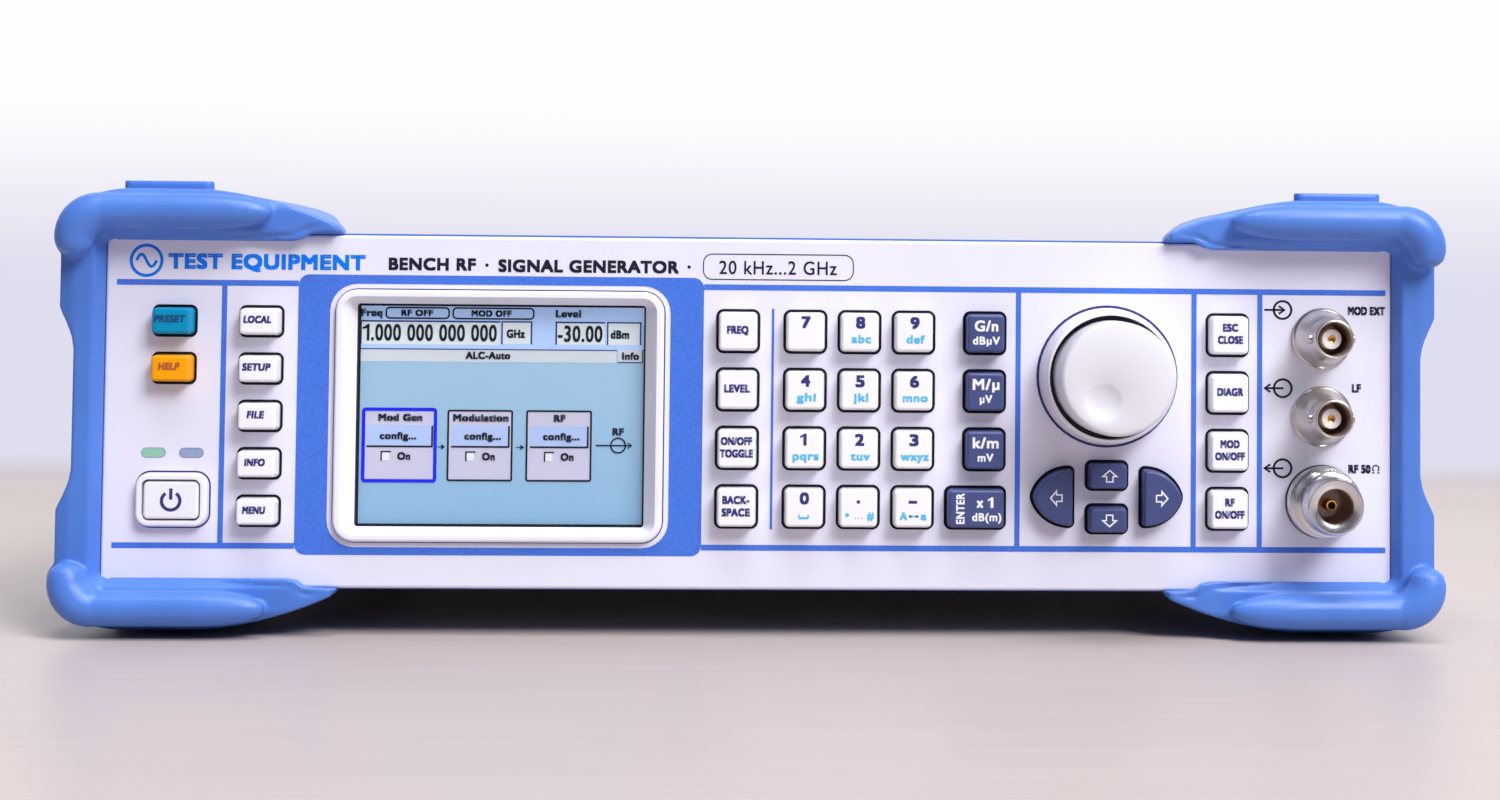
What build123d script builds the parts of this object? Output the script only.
"""RF signal generator: a bench instrument with a keypad, a display, a knob and coaxial sockets.

Millimetres. +X to the right seen from the front, +Y from the front to the back, +Z up. The origin is
at the middle of the bottom of the whole instrument, on the surface that it stands on.
"""
import math
import os

from build123d import *

# Overall size: a three-quarter-width, two-unit-high bench instrument
WIDTH = 344.0
HEIGHT = 112.0
DEPTH = 368.0
KNOB_REACH = 21.6  # knob face in front of the panel

# Main planes
PANEL_Y = -DEPTH / 2 + KNOB_REACH  # front face of the panel
MID_Z = 54.6  # the case and the panel mirror about this height
PANEL_THICK = 3.0
FRAME_FRONT = PANEL_Y + PANEL_THICK
FRAME_BACK = PANEL_Y + 18.0
REAR_PANEL_Y = 166.0  # inner face of the rear panel
REAR_PANEL_THICK = 2.0
REAR_FACE = REAR_PANEL_Y + REAR_PANEL_THICK

# Case and panel
CASE_HALF_W = 160.5
CASE_HALF_H = 43.5
CASE_WALL = 1.5
PANEL_HALF_W = 158.3
PANEL_HALF_H = 43.0
FIT_GAP = 0.2  # between neighbouring shells

# Bumpers
BUMPER_FRONT = 3.5  # front face of the bumper ahead of the panel
BUMPER_BACK = 64.0  # its rear end behind the panel
BUMPER_MID_Z = 55.0  # the bumpers mirror about this height
BUMPER_HALF_H = 53.6
BUMPER_HALF_W = 171.2  # outer side of the right bumper
STRIP_X = 168.6  # outer side of its narrow strip between the horns
STRIP_NOTCH = 3.7
WINDOW_HALF = (158.0, 40.9)  # what the bumpers leave of the panel
WINDOW_BEVEL = 31.0  # degrees, down from the bumper's face to the panel
PAD_X = (140.2, 163.6)
PAD_SLANT = 7.3  # the pad's inner side slants outward by this towards the back
PAD_Y = (PANEL_Y + 32.0, PANEL_Y + 58.0)
HORN_R = 3.9
HORN_Y = PANEL_Y - 4.0
HORN_Z = 47.95  # centre line of a horn above or below BUMPER_MID_Z
HORN_SIDE_X = 165.2
HORN_BEND = 7.2
HORN_TAPER_X = 133.0
HORN_TIP_X = 119.6
HORN_TIP_R = 1.9
BUMPER_SCREW_X = 163.2  # seat of the screw heads in the bumpers' sides
BUMPER_SCREW_Y = PANEL_Y + 12.0
BUMPER_SCREW_Z = (MID_Z - 9.0, MID_Z + 9.0)

# Fold-out feet: pivot, sides, tail and thickness
TILT_Y = PANEL_Y + 11.0
TILT_Z = 5.8
TILT_X = (117.0, 138.0)
TILT_TAIL = PANEL_Y + 46.0
TILT_THICK = 4.4
TILT_PIN_R = 1.2

# Keys: travel and clearances
KEY_TRAVEL = 1.2
KEY_PROUD = 4.4
KEY_GAP = 0.45  # around a key, at the panel's face
KEY_DRAFT = 3.6  # degrees
POWER_PROUD = 2.2
KEY_EDGE = 0.7
FLANGE_EXTRA = 0.7  # retaining flange beyond the hole
FLANGE_FRONT = PANEL_Y + PANEL_THICK + 0.3
KEY_BACK = FLANGE_FRONT + 1.5

# Key grid: hole sizes, columns and rows
SQUARE_KEY = (10.45, 10.5, 1.7)  # width, height, corner radius of the hole
SMALL_KEY = (10.45, 7.5, 1.5)
ENTER_KEY = (15.0, 10.5, 1.7)
ARROW_KEY = (10.5, 7.3, 1.6)
POWER_KEY = (14.2, 10.0, 1.7)
ROW_Z = [74.9 - 14.33 * row for row in range(4)]
SMALL_ROW_Z = [76.36 - 11.52 * row for row in range(5)]
PRESET_X = -141.4
SMALL_X = -120.45
FUNCTION_X = -4.35
DIGIT_X = (12.2, 25.55, 38.9)
UNIT_X = 56.55
ENTER_X = 54.45
RIGHT_X = 117.05
POWER_AT = (-141.05, 32.95)
LIGHT_X = (-146.0, -136.85)
LIGHT_Z = 44.25
LIGHT_SIZE = (5.7, 2.2)

# Knob and cursor keys
KNOB_AT = (87.05, 64.45)
KNOB_R = 14.7
COLLAR_R = 17.0
COLLAR_INNER_R = 15.2
COLLAR_TALL = 9.0
SHAFT_R = 3.0
ARROW_UP_Z = 40.0
ARROW_DOWN_Z = 29.3
ARROW_SIDE_Z = 34.7
ARROW_SIDE_X = 13.5  # left and right keys from the knob's axis
BULLET_LONG = 10.7  # bullet-shaped side keys: from the straight side to the tip
BULLET_TALL = 15.0  # length of the straight side
BULLET_CORNER_R = 1.3
BULLET_TIP_R = 3.5

# Display
DISPLAY_AT = (-62.5, 53.65)
BEZEL_SIZE = (80.0, 61.4, 5.2)
BEZEL_PROUD = 1.6
BEZEL_NECK = (74.6, 58.0, 3.0)
BEZEL_MOUTH = (76.6, 58.2, 3.6)
SCREEN_SIZE = (70.6, 54.6)

# Coaxial sockets on the front: x, z
SOCKET_X = 140.75
BNC_Z = (74.1, 54.8)
N_Z = 33.7
BNC_REACH = 14.5
BNC_R = 4.85
N_REACH = 16.4
N_THREAD_R = 7.94
N_BORE_R = 4.35

# Back of the instrument
REAR_BNC = ((-124.0, 74.0), (-100.0, 74.0), (-76.0, 74.0), (-124.0, 36.0), (-100.0, 36.0))
FAN_AT = (-12.0, MID_Z)
FAN_SIZE = 80.0
FAN_DEEP = 25.0
FAN_BORE_R = 38.0
INLET_AT = (120.0, 55.0)
PLUG_Z = 41.0
ROCKER_Z = 73.0
ROCKER_Y = REAR_FACE + 2.0
LAN_AT = (50.0, 32.0)
USB_A_AT = (76.0, 32.0)
USB_B_AT = (96.0, 32.0)
BUS_AT = (66.0, 76.0)
REAR_FOOT_IN = 138.0  # inner edge of a rear foot
REAR_FOOT_TALL = 30.0
REAR_FOOT_TOP = 104.0
REAR_SCREWS = [(x, z) for x in (-60.0, 36.0, 98.0) for z in (15.4, 93.8)]
FAN_SCREWS = [(FAN_AT[0] + x, FAN_AT[1] + z) for x in (-35.75, 35.75) for z in (-35.75, 35.75)]
FOOT_SCREWS = [(x, z) for x in (-148.0, 148.0) for z in (21.0, 88.2)]


# ---------------------------------------------------------------- helpers

def front_plane(y):
    """Vertical plane at depth y that faces the front: its x is +X and its y is +Z."""
    return Plane(origin=(0, y, 0), x_dir=(1, 0, 0), z_dir=(0, -1, 0))


def side_plane(x):
    """Vertical plane at x that faces right: its x is +Y and its y is +Z."""
    return Plane(origin=(x, 0, 0), x_dir=(0, 1, 0), z_dir=(1, 0, 0))


def prism(outline, x, z, y_front, y_back, taper=0):
    """Outline drawn as seen from the front, moved to x, z and extruded from y_back to y_front."""
    return extrude(front_plane(y_back) * Pos(x, z) * outline, amount=y_back - y_front, taper=taper)


def slab(x, z, size, y_front, y_back):
    """Block whose front view is a rectangle: width, height and, if given, a corner radius."""
    outline = RectangleRounded(*size) if len(size) == 3 else Rectangle(*size)
    return prism(outline, x, z, y_front, y_back)


def disc(x, z, radius, y_front, y_back):
    """Cylinder along Y."""
    return prism(Circle(radius), x, z, y_front, y_back)


def block(x, y, z):
    """Box between two limits on each axis."""
    size = (x[1] - x[0], y[1] - y[0], z[1] - z[0])
    middle = (sum(x) / 2, sum(y) / 2, sum(z) / 2)
    return Pos(*middle) * Box(*size)


def turned(profile, x, z, y_start, outward=-1):
    """Solid of revolution along Y from (radius, distance) points, starting at y_start."""
    outline = [(radius, outward * distance) for radius, distance in profile]
    face = make_face(Polyline(*outline, close=True))
    return Pos(x, y_start, z) * revolve(face, axis=Axis.Y)


def grown(size, extra):
    """Rounded rectangle size, larger by extra all round."""
    return (size[0] + 2 * extra, size[1] + 2 * extra, max(size[2] + extra, 0.3))


def save(shape, name):
    export_step(shape, f"parts/{name}.step")


def save_group(solids, name):
    """Several solids of one node, kept as separate solids."""
    save(Compound(children=[solid for piece in solids for solid in piece.solids()]), name)


# ---------------------------------------------------------------- keys

def bullet(extra):
    """Side cursor key pointing left: straight back, two flank arcs and a round tip, all tangent."""
    reach = BULLET_LONG / 2 + extra
    half = BULLET_TALL / 2 + extra
    corner_r = BULLET_CORNER_R + extra
    tip_r = BULLET_TIP_R + extra
    run = 2 * reach - corner_r - tip_r
    flank_r = (run**2 + half**2 - tip_r**2) / (2 * (half - tip_r))
    turn = math.degrees(math.atan2(flank_r - half, run))
    corner_x, corner_z = reach - corner_r, half - corner_r
    edges = [
        Line((reach, -corner_z), (reach, corner_z)),
        CenterArc((corner_x, corner_z), corner_r, 0, 90),
        CenterArc((corner_x, half - flank_r), flank_r, 90, 90 - turn),
        CenterArc((tip_r - reach, 0), tip_r, 180 - turn, 2 * turn),
        CenterArc((corner_x, flank_r - half), flank_r, 180 + turn, 90 - turn),
        CenterArc((corner_x, -corner_z), corner_r, 270, 90),
    ]
    return make_face(edges)


def key_outline(shape, extra=0.0):
    """Front view of a key's hole, grown by extra: a rounded rectangle or a bullet."""
    if shape == "bullet left":
        return bullet(extra)
    if shape == "bullet right":
        return bullet(extra).mirror(Plane.YZ)
    return RectangleRounded(shape[0] + 2 * extra, shape[1] + 2 * extra, shape[2] + extra)


def key_table():
    """Every key: name, shape of its hole, x and z of its centre."""
    keys = []
    for name, z in zip(("preset", "help"), SMALL_ROW_Z):
        keys.append((name, SMALL_KEY, PRESET_X, z))
    for name, z in zip(("local", "setup", "file", "info", "menu"), SMALL_ROW_Z):
        keys.append((name, SMALL_KEY, SMALL_X, z))
    for name, z in zip(("freq", "level", "toggle", "backspace"), ROW_Z):
        keys.append((name, SQUARE_KEY, FUNCTION_X, z))
    for names, z in zip(("789", "456", "123", ("0", "point", "sign")), ROW_Z):
        for name, x in zip(names, DIGIT_X):
            keys.append((name, SQUARE_KEY, x, z))
    for name, z in zip(("giga", "mega", "kilo"), ROW_Z):
        keys.append((name, SQUARE_KEY, UNIT_X, z))
    keys.append(("enter", ENTER_KEY, ENTER_X, ROW_Z[3]))
    for name, z in zip(("escape", "diagram", "mod", "rf"), ROW_Z):
        keys.append((name, SQUARE_KEY, RIGHT_X, z))
    keys.append(("up", ARROW_KEY, KNOB_AT[0], ARROW_UP_Z))
    keys.append(("down", ARROW_KEY, KNOB_AT[0], ARROW_DOWN_Z))
    keys.append(("left", "bullet left", KNOB_AT[0] - ARROW_SIDE_X, ARROW_SIDE_Z))
    keys.append(("right", "bullet right", KNOB_AT[0] + ARROW_SIDE_X, ARROW_SIDE_Z))
    keys.append(("power", POWER_KEY, *POWER_AT))
    return keys


def key_cap(name, shape, x, z):
    """Key cap: drafted sides, an eased front edge and a retaining flange behind the panel."""
    proud, draft = KEY_PROUD, KEY_DRAFT
    if name == "power":
        proud, draft = POWER_PROUD, 0
    body = key_outline(shape, -KEY_GAP)
    stem = prism(body, x, z, PANEL_Y, KEY_BACK)
    cap = prism(body, x, z, PANEL_Y - proud, PANEL_Y, draft)
    front_face = cap.faces().sort_by(Axis.Y)[0]
    cap = fillet(front_face.edges(), KEY_EDGE)
    flange = prism(key_outline(shape, FLANGE_EXTRA), x, z, FLANGE_FRONT, KEY_BACK)
    return cap + stem + flange


def make_keys():
    for name, shape, x, z in key_table():
        save(key_cap(name, shape, x, z), f"key_{name}")


# ---------------------------------------------------------------- front panel and its trims

def make_front_panel():
    """White panel plate with every hole that passes through it."""
    back = PANEL_Y + PANEL_THICK
    panel = slab(0, MID_Z, (2 * PANEL_HALF_W, 2 * PANEL_HALF_H, 1.2), PANEL_Y, back)
    front_edges = panel.faces().sort_by(Axis.Y)[0].edges()
    panel = fillet(front_edges, 0.8)
    for name, shape, x, z in key_table():
        panel -= prism(key_outline(shape), x, z, PANEL_Y - 1, back + 1)
    for x in LIGHT_X:
        guide = SlotOverall(LIGHT_SIZE[0] + 0.2, LIGHT_SIZE[1] + 0.2)
        panel -= prism(guide, x, LIGHT_Z, PANEL_Y - 1, back + 1)
    panel -= slab(*DISPLAY_AT, grown(BEZEL_NECK, 0.3), PANEL_Y - 1, back + 1)
    panel -= disc(*KNOB_AT, SHAFT_R + 1.5, PANEL_Y - 1, back + 1)
    for z in BNC_Z:
        panel -= disc(SOCKET_X, z, 6.2, PANEL_Y - 1, back + 1)
    panel -= disc(SOCKET_X, N_Z, 7.2, PANEL_Y - 1, back + 1)
    save(panel, "front_panel")


def display_bezel():
    """Raised frame whose inner faces slope down to the window."""
    neck_back = PANEL_Y + 2.6
    rim = slab(*DISPLAY_AT, BEZEL_SIZE, PANEL_Y - BEZEL_PROUD, PANEL_Y)
    rim = fillet(rim.faces().sort_by(Axis.Y)[0].edges(), 0.8)
    bezel = rim + slab(*DISPLAY_AT, BEZEL_NECK, PANEL_Y, neck_back)
    at = Pos(*DISPLAY_AT)
    mouth = front_plane(PANEL_Y - BEZEL_PROUD) * at * RectangleRounded(*BEZEL_MOUTH)
    throat = front_plane(neck_back) * at * RectangleRounded(*SCREEN_SIZE, 0.8)
    bezel -= loft([throat, mouth])
    return bezel


def power_bezel():
    """Raised frame around the power key."""
    frame = slab(*POWER_AT, grown(POWER_KEY, 1.45), PANEL_Y - 2.4, PANEL_Y)
    frame = fillet(frame.faces().sort_by(Axis.Y)[0].edges(), 0.7)
    return frame - slab(*POWER_AT, POWER_KEY, PANEL_Y - 3, PANEL_Y + 1)


def knob_collar():
    """Fixed ring that the knob turns in."""
    profile = [
        (COLLAR_INNER_R, 0), (COLLAR_R, 0), (COLLAR_R - 0.9, COLLAR_TALL - 1.0),
        (COLLAR_R - 1.2, COLLAR_TALL - 0.3), (COLLAR_R - 1.5, COLLAR_TALL),
        (COLLAR_INNER_R, COLLAR_TALL),
    ]
    return turned(profile, *KNOB_AT, PANEL_Y)


def make_panel_bezels():
    save_group([display_bezel(), power_bezel(), knob_collar()], "panel_bezels")


def make_clear_windows():
    """Display window and the two light guides beside the power key."""
    solids = [slab(*DISPLAY_AT, (72.6, 56.6, 1.0), PANEL_Y + 2.65, PANEL_Y + 4.15)]
    for x in LIGHT_X:
        solids.append(prism(SlotOverall(*LIGHT_SIZE), x, LIGHT_Z, PANEL_Y - 0.1, PANEL_Y + 5.0))
    save_group(solids, "clear_windows")


def make_lcd_module():
    """Metal-framed LCD: the frame stands round a slightly sunk active area."""
    module = slab(*DISPLAY_AT, (84.0, 66.0, 1.0), PANEL_Y + 4.4, PANEL_Y + 10.4)
    module -= slab(*DISPLAY_AT, SCREEN_SIZE, PANEL_Y + 4.0, PANEL_Y + 4.7)
    save(module, "lcd_module")


def make_keypad_board():
    """Key boards with their contact mats, and the encoder body."""
    boards = ((-149.5, -113.0), (-12.0, 124.0))
    low, high = 22.0, 82.0
    mat_front, board_front, board_back = PANEL_Y + 9.8, PANEL_Y + 11.0, PANEL_Y + 12.6
    encoder_front = PANEL_Y + 4.0
    solids = []
    for left, right in boards:
        middle, size = (left + right) / 2, (right - left, high - low)
        mat = slab(middle, MID_Z - 2.6, size, mat_front, board_front)
        for name, shape, x, z in key_table():
            if left < x < right:
                mat += disc(x, z, 2.6, KEY_BACK + KEY_TRAVEL + 0.6, mat_front)
        if left < KNOB_AT[0] < right:
            mat -= slab(*KNOB_AT, (14.6, 14.6), mat_front - 1, board_front + 1)
        solids += [mat, slab(middle, MID_Z - 2.6, size, board_front, board_back)]
    encoder = slab(*KNOB_AT, (13.6, 13.6, 0.8), encoder_front, board_front)
    encoder -= disc(*KNOB_AT, SHAFT_R + 0.05, encoder_front - 1, board_front - 0.5)
    solids.append(encoder)
    save_group(solids, "keypad_board")


def make_knob():
    """Hollow knob on a hub, with a drafted side, a rounded edge and a finger dimple."""
    face = KNOB_REACH
    outer = [
        (SHAFT_R + 0.05, 3.0), (5.5, 3.0), (5.5, 17.6), (12.4, 17.6), (12.9, 2.2), (KNOB_R, 2.2),
        (KNOB_R, COLLAR_TALL), (13.95, face - 1.5), (13.75, face - 0.75), (13.3, face - 0.2),
        (12.7, face), (0, face), (0, 16.5), (SHAFT_R + 0.05, 16.5),
    ]
    knob = turned(outer, *KNOB_AT, PANEL_Y)
    dimple_r = 11.0
    depth = 1.0
    ball = Pos(KNOB_AT[0] - 3.55, PANEL_Y - face - dimple_r + depth, KNOB_AT[1] - 5.5)
    knob -= ball * Sphere(dimple_r)
    save(knob, "knob")


def make_encoder_shaft():
    shaft = disc(*KNOB_AT, SHAFT_R, PANEL_Y - 16.3, PANEL_Y + 9.4)
    save(chamfer(shaft.edges(), 0.3), "encoder_shaft")


# ---------------------------------------------------------------- frame, case and bumpers

def make_front_frame():
    """Cast frame behind the panel: a ring with two posts and corner bosses."""
    size = (2 * CASE_HALF_W, 2 * CASE_HALF_H, 2.0)
    frame = slab(0, MID_Z, size, FRAME_FRONT, FRAME_BACK)
    frame -= slab(0, MID_Z, grown(size, -6.0), FRAME_FRONT - 1, FRAME_BACK + 1)
    for x in (-108.0, -16.5):
        frame += slab(x, MID_Z, (3.0, 2 * CASE_HALF_H - 11), FRAME_FRONT, FRAME_BACK)
    save(frame, "front_frame")


def bumper_outline():
    """Front view of the right bumper, mirrored about its middle height."""
    arc = ThreePointArc
    notch_x = STRIP_X - STRIP_NOTCH
    upper = [
        Line((101.0, 43.4), (102.4, 45.2)),
        arc((102.4, 45.2), (118.3, 50.8), (134.0, BUMPER_HALF_H)),
        Line((134.0, BUMPER_HALF_H), (154.0, BUMPER_HALF_H)),
        arc((154.0, BUMPER_HALF_H), (166.0, 48.8), (BUMPER_HALF_W, 41.1)),
        arc((BUMPER_HALF_W, 41.1), (170.2, 39.0), (STRIP_X, 37.6)),
        Line((STRIP_X, 37.6), (STRIP_X, 24.4)),
        Line((STRIP_X, 24.4), (STRIP_X - 2.0, 20.4)),
        arc((STRIP_X - 2.0, 20.4), (notch_x + 0.5, 17.4), (notch_x, 14.0)),
        Line((notch_x, 14.0), (notch_x, -14.0)),
    ]
    lower = [edge.mirror(Plane.XZ) for edge in upper[:-1]]
    closing = Line((101.0, 43.4), (101.0, -43.4))
    return make_face(Wire(upper + lower + [closing]))


def bumper_side_profile():
    """Side view of a bumper: rounded front edges, tapered rear ends, a notch in the middle."""
    front, back = PANEL_Y - BUMPER_FRONT, PANEL_Y + BUMPER_BACK
    top = BUMPER_HALF_H + 1
    whole = [
        (front, 48.6), (front + 1.6, 52.2), (front + 5.0, top), (back - 14.0, top),
        (back - 4.0, 49.6), (back, 45.1),
    ]
    mirrored = [(y, -z) for y, z in reversed(whole)]
    body = make_face(Polyline(*whole, *mirrored, close=True))
    notch_front = PANEL_Y + 26.0
    notch = Rectangle(2 * (back - notch_front), 52.0)
    notch = fillet(notch.vertices(), 14.0)
    return body - Pos(back, 0) * notch


def bumper_plan_profile():
    """Top view of the right bumper: rounded outer edges, wings that get shorter inwards."""
    front, back = PANEL_Y - BUMPER_FRONT, PANEL_Y + BUMPER_BACK
    side = BUMPER_HALF_W
    points = [
        (99.0, front), (side - 6.0, front), (side - 2.0, front + 1.2), (side, front + 4.0),
        (side, back - 12.0), (side - 3.0, back - 3.0), (side - 8.0, back), (122.0, back),
        (111.5, front + 45.0), (102.5, front + 9.0), (99.0, front + 6.5),
    ]
    return make_face(Polyline(*points, close=True))


def bumper_horn(side_up):
    """Forward horn: a bar along the wing that turns into the side strip, tapered to its tip."""
    z = BUMPER_MID_Z + side_up * HORN_Z
    bend_x = HORN_SIDE_X - HORN_BEND
    end_z = z - side_up * HORN_BEND
    run = Line((HORN_TAPER_X, HORN_Y, z), (bend_x, HORN_Y, z))
    bend_mid = HORN_BEND * math.sqrt(0.5)
    turn = ThreePointArc(
        (bend_x, HORN_Y, z),
        (bend_x + bend_mid, HORN_Y, end_z + side_up * bend_mid),
        (HORN_SIDE_X, HORN_Y, end_z),
    )
    section = Plane(origin=(HORN_TAPER_X, HORN_Y, z), z_dir=(1, 0, 0)) * Circle(HORN_R)
    horn = sweep(section, path=Wire([run, turn]))
    horn += Pos(HORN_SIDE_X, HORN_Y, end_z) * Sphere(HORN_R)
    taper = Cone(HORN_TIP_R, HORN_R, HORN_TAPER_X - HORN_TIP_X)
    middle_x = (HORN_TAPER_X + HORN_TIP_X) / 2
    horn += Pos(middle_x, HORN_Y, z) * Rot(0, 90, 0) * taper
    horn += Pos(HORN_TIP_X, HORN_Y, z) * Sphere(HORN_TIP_R)
    return horn


def panel_window():
    """Opening of both bumpers in front of the panel: the panel's visible outline."""
    half_w, half_h = WINDOW_HALF
    middle = RectangleRounded(2 * half_w, 2 * half_h, 1.5)
    step = Polyline((0, 0), (112.5, 0), (108.3, 2.2), (0, 2.2), close=True)
    step = Pos(0, half_h) * make_face(step)
    step += step.mirror(Plane.YZ)
    return middle + step + step.mirror(Plane.XZ)


def tilt_pocket():
    """Space in the right bumper's underside for the folded tilt foot and its pivot pin."""
    left, right = TILT_X[0] - 0.5, TILT_X[1] + 0.5
    pocket = block((left, right), (TILT_Y - 4.5, TILT_TAIL + 1.0), (-1.0, 8.4))
    hole = Plane(origin=(left - 1.5, TILT_Y, TILT_Z), z_dir=(1, 0, 0)) * Circle(TILT_PIN_R + 0.05)
    return pocket + extrude(hole, amount=right - left + 3.0)


def pad(bottom, top):
    """Stacking pad or foot pad: a low block with rounded corners and a slanted inner side."""
    (inner, outer), (front, back) = PAD_X, PAD_Y
    corners = [(inner, front), (outer, front), (outer, back), (inner + PAD_SLANT, back)]
    outline = fillet(make_face(Polyline(*corners, close=True)).vertices(), 2.0)
    return extrude(Pos(0, 0, bottom) * outline, amount=top - bottom)


def make_front_bumpers():
    """Two mirrored bumpers, each with two horns, a stacking pad above and a foot pad below."""
    front, back = PANEL_Y - BUMPER_FRONT, PANEL_Y + BUMPER_BACK
    bumper = prism(bumper_outline(), 0, BUMPER_MID_Z, front, back)
    side_view = side_plane(99) * Pos(0, BUMPER_MID_Z) * bumper_side_profile()
    bumper &= extrude(side_view, amount=80)
    bumper &= extrude(bumper_plan_profile(), amount=HEIGHT + 10)
    bumper += bumper_horn(1) + bumper_horn(-1)
    bumper += pad(100.0, HEIGHT) + pad(0, 8.0)
    panel_gap = (2 * PANEL_HALF_W + 0.3, 2 * PANEL_HALF_H + 0.3, 1.2)
    case_gap = (2 * (CASE_HALF_W + FIT_GAP), 2 * (CASE_HALF_H + FIT_GAP), 1.2)
    bumper -= prism(panel_window(), 0, BUMPER_MID_Z, front - 8, PANEL_Y, -WINDOW_BEVEL)
    bumper -= slab(0, MID_Z, panel_gap, PANEL_Y, FRAME_FRONT)
    bumper -= slab(0, MID_Z, case_gap, FRAME_FRONT - 0.2, back + 1)
    bumper -= tilt_pocket()
    for z in BUMPER_SCREW_Z:
        hole = Plane(origin=(150, BUMPER_SCREW_Y, z), z_dir=(1, 0, 0)) * Circle(2.2)
        head = Plane(origin=(BUMPER_SCREW_X, BUMPER_SCREW_Y, z), z_dir=(1, 0, 0)) * Circle(4.2)
        bumper -= extrude(hole, amount=30) + extrude(head, amount=30)
    save_group([bumper.mirror(Plane.YZ), bumper], "front_bumpers")


def make_tilt_feet():
    """Fold-out feet: a flap with a round nose on a pivot pin that ends in the pocket's walls."""
    left, right = TILT_X
    bottom, top = TILT_Z - TILT_THICK / 2, TILT_Z + TILT_THICK / 2
    plate = block(TILT_X, (TILT_Y, TILT_TAIL), (bottom, top))
    nose = Plane(origin=(left, TILT_Y, TILT_Z), z_dir=(1, 0, 0)) * Circle(TILT_THICK / 2)
    pin = Plane(origin=(left - 1.6, TILT_Y, TILT_Z), z_dir=(1, 0, 0)) * Circle(TILT_PIN_R)
    foot = plate + extrude(nose, amount=right - left) + extrude(pin, amount=right - left + 3.2)
    tail_edges = foot.edges().filter_by(Axis.X).sort_by(Axis.Y)[-2:]
    foot = fillet(tail_edges, 1.4)
    foot -= block((left + 4, right - 4), (TILT_TAIL - 9, TILT_TAIL - 5), (0, bottom + 0.8))
    save(foot, "tilt_foot_right")
    save(foot.mirror(Plane.YZ), "tilt_foot_left")


def make_case_tube():
    """Cover sleeve with rows of ventilation slots in both sides."""
    size = (2 * CASE_HALF_W, 2 * CASE_HALF_H, 2.5)
    case = slab(0, MID_Z, size, FRAME_BACK, REAR_PANEL_Y)
    inside = grown(size, -CASE_WALL)
    case -= slab(0, MID_Z, inside, FRAME_BACK - 1, REAR_PANEL_Y + 1)
    slots = Sketch()
    for row in range(2):
        for column in range(24):
            y = -40.0 + 7.0 * column
            slots += Pos(y, 32.0 + 45.0 * row) * SlotOverall(26.0, 2.6, rotation=90)
    case -= extrude(side_plane(-CASE_HALF_W - 1) * slots, amount=2 * CASE_HALF_W + 2)
    save(case, "case_tube")


# ---------------------------------------------------------------- back of the instrument

def fan_slots():
    """Horizontal slots over the fan's bore."""
    slots = Sketch()
    for step in range(-5, 6):
        height = 6.6 * step
        length = 2 * math.sqrt((FAN_BORE_R - 1) ** 2 - height**2)
        slots += Pos(0, height) * SlotOverall(length, 3.8)
    return slots


def make_rear_panel():
    """Plate that closes the back, with the fan grille and the socket holes."""
    size = (2 * CASE_HALF_W - 1.0, 2 * CASE_HALF_H - 1.0, 2.0)
    plate = slab(0, MID_Z, size, REAR_PANEL_Y, REAR_FACE)
    before, after = REAR_PANEL_Y - 1, REAR_FACE + 1
    plate -= prism(fan_slots(), *FAN_AT, before, after)
    for x, z in REAR_BNC:
        plate -= disc(x, z, 6.2, before, after)
    plate -= slab(*INLET_AT, (27.4, 53.4), before, after)
    plate -= slab(*LAN_AT, (16.6, 13.8), before, after)
    plate -= slab(*USB_A_AT, (14.6, 7.0), before, after)
    plate -= slab(*USB_B_AT, (12.4, 11.4), before, after)
    plate -= slab(*BUS_AT, (46.6, 11.6), before, after)
    for x, z in REAR_SCREWS:
        plate -= disc(x, z, 1.6, before, after)
    for x, z in FAN_SCREWS:
        plate -= disc(x, z, 2.2, before, after)
    save(plate, "rear_panel")


def rear_foot(side, up):
    """Corner foot: a rounded block behind the rear panel that wraps the case's corner."""
    x_limits = sorted((side * REAR_FOOT_IN, side * WIDTH / 2))
    z_limits = (REAR_FOOT_TOP - REAR_FOOT_TALL, REAR_FOOT_TOP) if up > 0 else (0, REAR_FOOT_TALL)
    foot = block(x_limits, (REAR_PANEL_Y - 16.0, DEPTH / 2), z_limits)
    foot = fillet(foot.edges().filter_by(Axis.Y), 4.0)
    foot = fillet(foot.faces().sort_by(Axis.Y)[-1].edges(), 2.5)
    case = (2 * (CASE_HALF_W + FIT_GAP), 2 * (CASE_HALF_H + FIT_GAP), 2.0)
    foot -= slab(0, MID_Z, case, REAR_PANEL_Y - 20, REAR_FACE)
    for x, z in FOOT_SCREWS:
        foot -= disc(x, z, 2.2, REAR_PANEL_Y, DEPTH / 2 + 1)
        foot -= disc(x, z, 4.3, DEPTH / 2 - 9.0, DEPTH / 2 + 1)
    return foot


def make_rear_feet():
    save_group([rear_foot(side, up) for side in (-1, 1) for up in (-1, 1)], "rear_feet")


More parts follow.
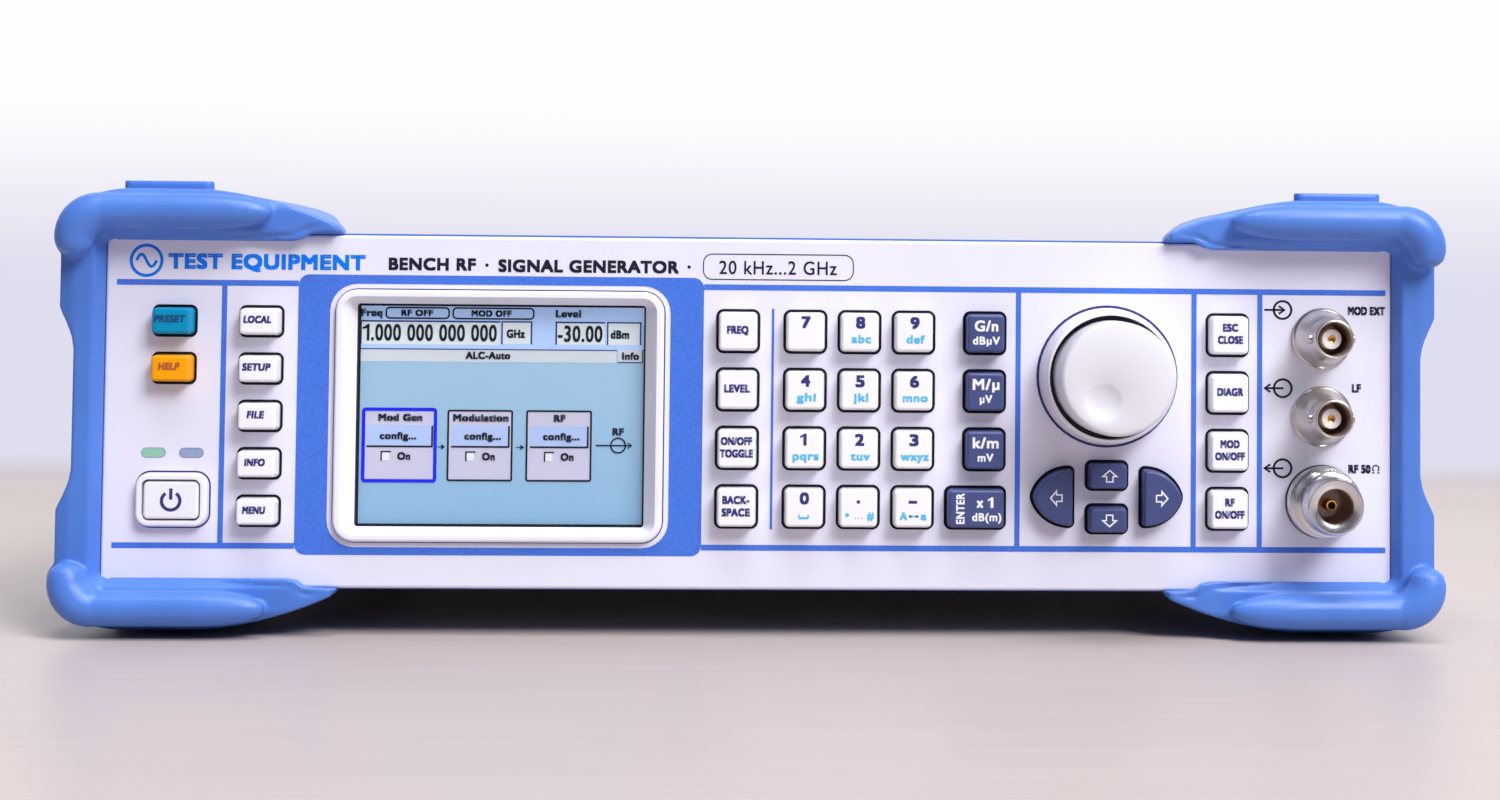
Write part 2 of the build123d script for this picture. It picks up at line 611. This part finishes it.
def bnc_socket(x, z, y, outward):
    """BNC socket: shell with bayonet lugs, insulator, centre contact and panel nut."""
    shell = turned([
        (2.5, -12.0), (6.0, -12.0), (6.0, 0), (7.55, 0), (7.55, 1.0), (7.2, 1.2), (5.5, 6.4),
        (BNC_R, 7.0), (BNC_R, BNC_REACH - 0.3), (BNC_R - 0.3, BNC_REACH), (4.05, BNC_REACH),
        (4.05, 2.6), (2.5, 2.6),
    ], x, z, y, outward)
    lug_y = y + outward * (BNC_REACH - 4.2)
    for side in (-1, 1):
        lug = Plane(origin=(x + side * 4.5, lug_y, z), z_dir=(side, 0, 0)) * Circle(1.0)
        shell += extrude(lug, amount=1.1)
    insulator = turned([(1.0, -11.0), (2.5, -11.0), (2.5, 10.0), (1.0, 10.0)], x, z, y, outward)
    contact = turned([
        (0, -13.0), (1.0, -13.0), (1.0, 9.4), (0.55, 9.4), (0.55, 5.0), (0, 5.0),
    ], x, z, y, outward)
    return [shell, insulator, contact]


def socket_nut(x, z, y_front, y_back, bore_r, across):
    hexagon = RegularPolygon(across / 2, 6, major_radius=False)
    return prism(hexagon, x, z, y_front, y_back) - disc(x, z, bore_r, y_front - 1, y_back + 1)


def n_socket(x, z):
    """N socket: gasket ring, threaded shell, insulator and centre contact."""
    y, out = PANEL_Y, -1
    gasket = turned([(7.0, 0), (8.6, 0), (8.6, 0.6), (7.0, 0.6)], x, z, y, out)
    shell = turned([
        (3.5, -12.0), (7.0, -12.0), (7.0, 0.6), (8.5, 0.6), (8.5, 4.2), (7.5, 4.4), (7.5, 5.4),
        (N_THREAD_R, 5.6), (N_THREAD_R, 15.0), (7.1, N_REACH), (N_BORE_R, N_REACH),
        (N_BORE_R, 4.0), (3.5, 4.0),
    ], x, z, y, out)
    insulator = turned([(1.5, -11.0), (3.5, -11.0), (3.5, 4.6), (1.5, 4.6)], x, z, y, out)
    contact = turned([
        (0, -14.0), (1.5, -14.0), (1.5, 11.4), (0.85, 11.4), (0.85, 6.5), (0, 6.5),
    ], x, z, y, out)
    return [gasket, shell, insulator, contact]


def make_front_connectors():
    nut_front, nut_back = FRAME_FRONT, FRAME_FRONT + 3.0
    solids = []
    for z in BNC_Z:
        solids += bnc_socket(SOCKET_X, z, PANEL_Y, -1)
        solids.append(socket_nut(SOCKET_X, z, nut_front, nut_back, 6.0, 15.0))
    solids += n_socket(SOCKET_X, N_Z)
    solids.append(socket_nut(SOCKET_X, N_Z, nut_front, nut_back, 7.0, 18.0))
    save_group(solids, "front_connectors")


def lan_socket():
    """Eight-way modular jack in a metal shell, latch slot downwards."""
    x, z = LAN_AT
    jack = slab(x, z, (16.0, 13.2), REAR_PANEL_Y - 15.0, REAR_FACE + 0.8)
    jack -= slab(x, z + 1.0, (11.8, 7.6), REAR_PANEL_Y - 9.0, REAR_FACE + 2)
    jack -= slab(x, z - 3.8, (6.2, 3.0), REAR_PANEL_Y - 9.0, REAR_FACE + 2)
    return [jack]


def usb_sockets():
    """One flat and one square USB socket, each a shell with its tongue."""
    front, back = REAR_PANEL_Y - 12.0, REAR_FACE + 0.6
    flat = slab(*USB_A_AT, (14.0, 6.4, 0.6), front, back)
    flat -= slab(*USB_A_AT, (12.5, 4.9), front + 2.0, back + 1)
    flat_tongue = slab(USB_A_AT[0], USB_A_AT[1] + 1.0, (11.0, 1.8), front + 2.0, back - 1.5)
    square = slab(*USB_B_AT, (11.8, 10.8, 1.0), front, back)
    square -= slab(*USB_B_AT, (8.5, 7.8), front + 2.0, back + 1)
    square_tongue = slab(*USB_B_AT, (5.6, 3.2), front + 2.0, back - 1.5)
    return [flat, flat_tongue, square, square_tongue]


def bus_socket():
    """Instrument bus socket: a trapezoid shell round a contact block, with two studs."""
    front, back = REAR_PANEL_Y - 10.0, REAR_FACE + 4.5
    shell = slab(*BUS_AT, (46.0, 11.0, 2.0), front, back)
    shell -= slab(*BUS_AT, (43.6, 8.6, 1.2), REAR_PANEL_Y, back + 1)
    contacts = slab(*BUS_AT, (39.0, 4.2, 0.8), REAR_PANEL_Y, back - 1.0)
    flange = slab(*BUS_AT, (62.0, 13.0, 1.5), REAR_FACE, REAR_FACE + 1.0)
    flange -= slab(*BUS_AT, (46.0, 11.0, 2.0), REAR_FACE - 1, REAR_FACE + 2)
    studs = []
    for side in (-1, 1):
        stud = prism(RegularPolygon(3.0, 6), BUS_AT[0] + side * 27.0, BUS_AT[1],
                     REAR_FACE + 1.0, REAR_FACE + 6.0)
        studs.append(stud)
    return [shell, contacts, flange, *studs]


def make_rear_connectors():
    solids = []
    for x, z in REAR_BNC:
        solids += bnc_socket(x, z, REAR_FACE, 1)
        solids.append(socket_nut(x, z, REAR_PANEL_Y - 3.0, REAR_PANEL_Y, 6.0, 15.0))
    solids += lan_socket() + usb_sockets() + bus_socket()
    save_group(solids, "rear_connectors")


def make_mains_inlet():
    """Mains inlet module: plug cavity with three pins, fuse drawer and rocker cavity."""
    x, z = INLET_AT
    face = REAR_FACE + 2.6
    body = slab(x, z, (27.0, 53.0), REAR_PANEL_Y - 24.0, REAR_FACE)
    body += slab(x, z, (31.0, 57.0, 2.0), REAR_FACE, face)
    cavity = chamfer(Rectangle(24.2, 16.6).vertices().sort_by(Axis.Y)[:2], 4.0)
    body -= prism(cavity, x, PLUG_Z, face - 19.0, face + 1)
    body -= slab(x, ROCKER_Z, (22.2, 13.4), face - 11.0, face + 1)
    body -= slab(x, 57.0, (23.0, 8.4), face - 2.0, face + 1)
    for side in (-1, 1):
        hinge = Plane(origin=(x + side * 11.0, ROCKER_Y, ROCKER_Z), z_dir=(side, 0, 0))
        body -= extrude(hinge * Circle(1.05), amount=1.4)
    drawer = slab(x, 57.0, (22.6, 8.0, 0.8), face - 2.0, face + 0.4)
    drawer -= slab(x, 54.2, (6.0, 1.0), face - 0.2, face + 1)
    pins = []
    for pin_x, pin_z in ((-7.0, -2.0), (7.0, -2.0), (0, 2.0)):
        pins.append(slab(x + pin_x, PLUG_Z + pin_z, (4.0, 2.0), face - 19.0, face - 5.0))
    save_group([body, drawer, *pins], "mains_inlet")


def make_mains_rocker():
    """Rocker with a shallow V face, tilted to its off side, on two short pivots."""
    half, reach = 5.9, 4.0
    tilt = 8.0
    points = [(0, 2.4), (half, reach), (half, -1.5), (3.0, -5.0), (-3.0, -5.0), (-half, -1.5),
              (-half, reach)]
    outline = Polyline(*[(y, z) for z, y in points], close=True)
    x = INLET_AT[0]
    width = 21.4
    start = side_plane(x - width / 2) * Pos(ROCKER_Y, ROCKER_Z) * Rot(0, 0, tilt)
    rocker = extrude(start * make_face(outline), amount=width)
    pivot = Plane(origin=(x - width / 2 - 1.2, ROCKER_Y, ROCKER_Z), z_dir=(1, 0, 0)) * Circle(1.0)
    rocker += extrude(pivot, amount=width + 2.4)
    save(rocker, "mains_rocker")


def make_fan_frame():
    """Axial fan housing with corner mounting holes, three struts and a motor seat."""
    front, back = REAR_PANEL_Y - FAN_DEEP, REAR_PANEL_Y
    frame = slab(*FAN_AT, (FAN_SIZE, FAN_SIZE, 4.0), front, back)
    frame -= disc(*FAN_AT, FAN_BORE_R, front - 1, back + 1)
    seat_front = back - 4.0
    frame += disc(*FAN_AT, 15.0, seat_front, back)
    for angle in (90, 210, 330):
        strut = Pos(FAN_BORE_R / 2 + 6, 0) * Rectangle(FAN_BORE_R - 10, 4.0)
        frame += prism(Rot(0, 0, angle) * strut, *FAN_AT, seat_front + 1.0, back)
    frame -= disc(*FAN_AT, 1.56, seat_front - 1, back - 1.0)
    for x, z in FAN_SCREWS:
        frame -= disc(x, z, 2.2, front - 1, back + 1)
    save(frame, "fan_frame")


def make_fan_rotor():
    """Hub, axle and seven pitched blades."""
    hub_front, hub_back = REAR_PANEL_Y - FAN_DEEP + 1.5, REAR_PANEL_Y - 5.0
    hub_r, tip_r = 16.0, FAN_BORE_R - 1.2
    rotor = disc(*FAN_AT, hub_r, hub_front, hub_back)
    middle_y = (hub_front + hub_back) / 2
    blade = Pos(0, 0, (hub_r + tip_r) / 2) * Box(2.0, 21.0, tip_r - hub_r + 6)
    blades = [Rot(0, 45 * 8 / 7 * number, 0) * Rot(0, 0, 38) * blade for number in range(7)]
    ring = disc(0, 0, tip_r, hub_front - middle_y, hub_back - middle_y)
    for piece in blades:
        rotor += Pos(FAN_AT[0], middle_y, FAN_AT[1]) * (piece & ring)
    rotor += disc(*FAN_AT, 1.5, hub_back - 1, REAR_PANEL_Y - 1.4)
    save(rotor, "fan_rotor")


# ---------------------------------------------------------------- electronics and screws

def make_main_board():
    """Main circuit board with its larger parts."""
    top = 18.6
    board = block((-150.0, 66.0), (-125.0, 132.0), (17.0, top))
    parts = [
        ((-60, -20, -10, 30), 6.0), ((-120, -90, -60, -30), 2.4), ((-110, -80, 20, 50), 3.0),
        ((-30, 0, -90, -60), 2.4), ((20, 50, -60, -30), 2.4), ((10, 40, 40, 70), 3.0),
        ((-140, -128, 80, 125), 12.0), ((-100, -88, 90, 102), 10.0), ((-70, -58, 90, 102), 10.0),
    ]
    for (left, right, front, back), tall in parts:
        board += block((left, right), (front, back), (top, top + tall))
    for fin in range(7):
        x = -58.0 + 6.0 * fin
        board += block((x, x + 1.6), (-10, 30), (top + 6, top + 20))
    for x, y in ((-146, -121), (-146, 128), (62, -121), (62, 128)):
        board -= Pos(x, y, 17.8) * Cylinder(1.6, 4)
    save(board, "main_board")


def make_rf_module():
    """Screened RF module: a milled tray and its ribbed lid."""
    x, y = (74.0, 150.0), (-132.0, 8.0)
    tray = block(x, y, (17.0, 62.0))
    tray -= block((x[0] + 3, x[1] - 3), (y[0] + 3, y[1] - 3), (20.0, 63.0))
    tray += block((x[0] + 3, x[1] - 3), (-64, -61), (20.0, 62.0))
    lid = block(x, y, (62.0, 64.5))
    for rib in range(8):
        rib_y = -122.0 + 16.0 * rib
        lid += block((x[0] + 6, x[1] - 6), (rib_y, rib_y + 3), (64.5, 69.0))
    save_group([tray, lid], "rf_module")


def make_power_supply():
    """Enclosed power supply: a folded metal box with a slotted lid."""
    x, y = (76.0, 150.0), (18.0, 134.0)
    box = block(x, y, (17.0, 60.0))
    box -= block((x[0] + 1.5, x[1] - 1.5), (y[0] + 1.5, y[1] - 1.5), (18.5, 61.0))
    lid = block(x, y, (60.0, 61.5))
    slots = Sketch()
    for step in range(12):
        slots += Pos(113.0, 30.0 + 8.0 * step) * SlotOverall(50.0, 3.0)
    lid -= extrude(Pos(0, 0, 59) * slots, amount=4)
    core = block((x[0] + 20, x[1] - 20), (y[0] + 30, y[1] - 40), (18.5, 50.0))
    save_group([box, lid, core], "power_supply")


def pan_screw(plane, radius, head_r, head_tall, length):
    """Pan-head screw with a cross recess; the plane's normal points out of the head."""
    screw = extrude(plane * Circle(radius), amount=-length)
    head = extrude(plane * Circle(head_r), amount=head_tall)
    recess = Rectangle(head_r * 1.1, 0.7) + Rectangle(0.7, head_r * 1.1)
    top = plane.offset(head_tall - 0.9)
    return screw + head - extrude(top * recess, amount=2)


def make_screws():
    """Fasteners: rear panel, fan, rear feet and bumper sides."""
    back = Plane(origin=(0, 0, 0), x_dir=(-1, 0, 0), z_dir=(0, 1, 0))
    solids = []
    for x, z in REAR_SCREWS:
        plane = Plane(origin=(x, REAR_FACE, z), x_dir=back.x_dir, z_dir=back.z_dir)
        solids.append(pan_screw(plane, 1.5, 2.8, 2.0, 5.0))
    for x, z in FAN_SCREWS:
        plane = Plane(origin=(x, REAR_FACE, z), x_dir=back.x_dir, z_dir=back.z_dir)
        solids.append(pan_screw(plane, 2.1, 3.6, 2.2, 8.0))
    for x, z in FOOT_SCREWS:
        plane = Plane(origin=(x, DEPTH / 2 - 9.0, z), x_dir=back.x_dir, z_dir=back.z_dir)
        solids.append(pan_screw(plane, 2.0, 3.8, 2.6, 6.5))
    for side in (-1, 1):
        for z in BUMPER_SCREW_Z:
            origin = (side * BUMPER_SCREW_X, BUMPER_SCREW_Y, z)
            plane = Plane(origin=origin, x_dir=(0, side, 0), z_dir=(side, 0, 0))
            solids.append(pan_screw(plane, 2.0, 3.8, 1.4, 2.3))
    save_group(solids, "screws")


os.makedirs("parts", exist_ok=True)
make_keys()
make_front_panel()
make_panel_bezels()
make_clear_windows()
make_lcd_module()
make_keypad_board()
make_knob()
make_encoder_shaft()
make_front_frame()
make_front_bumpers()
make_tilt_feet()
make_case_tube()
make_rear_panel()
make_rear_feet()
make_front_connectors()
make_rear_connectors()
make_mains_inlet()
make_mains_rocker()
make_fan_frame()
make_fan_rotor()
make_main_board()
make_rf_module()
make_power_supply()
make_screws()
